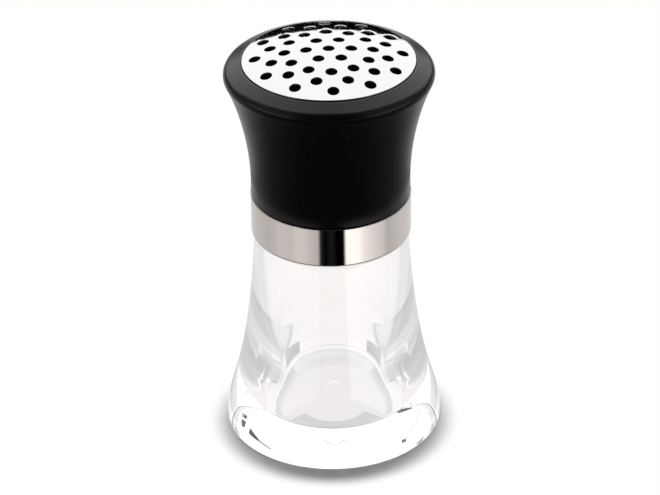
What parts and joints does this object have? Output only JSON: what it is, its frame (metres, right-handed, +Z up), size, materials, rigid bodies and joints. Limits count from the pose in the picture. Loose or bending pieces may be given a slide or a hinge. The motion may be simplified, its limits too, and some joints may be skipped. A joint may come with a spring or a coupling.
{
  "type": "restaurant spice shaker dispenser",
  "caption": "Clear flared table jar with a screw-off cap: a steel band, a flared black collar and a domed steel plate whose holes sprinkle dry spice.",
  "frame": {"origin": "centre of the jar's foot, on the surface it stands on", "axes": "+Z up along the axis that every piece is turned about, from the foot to the plate; +Y is the way the picture looks"},
  "size_m": [0.0578, 0.0578, 0.1103],
  "materials": {
    "clear_glass": "clear soda-lime glass, pressed and blown, fire polished",
    "seal_silicone": "moulded, satin",
    "black_insert": "moulded, matt",
    "black_grip": "moulded, matt",
    "band_steel": "drawn sheet, mirror polished",
    "black_moulding": "moulded, satin",
    "plate_steel": "pressed and punched sheet, polished"
  },
  "bodies": {
    "jar": {"jar": "clear_glass"},
    "seal": {"mouth_seal": "seal_silicone"},
    "cap": {"screw_sleeve": "black_insert", "steel_band": "band_steel", "flared_collar": "black_moulding", "perforated_dome": "plate_steel", "dome_retaining_ring": "black_grip"}
  },
  "joints": [
    {"name": "cap_rise", "type": "slide", "parent": "jar", "child": "seal", "axis": [0, 0, 1], "range_m": [0, 0.0128]},
    {"name": "cap_turn", "type": "hinge", "parent": "seal", "child": "cap", "pos_m": [0, 0, 0.067], "axis": [0, 0, 1], "range_deg": [0, 1080]}
  ],
  "couplings": [
    {"joint": "cap_rise", "follows": "cap_turn", "m_per_rad": 0.00067322}
  ]
}
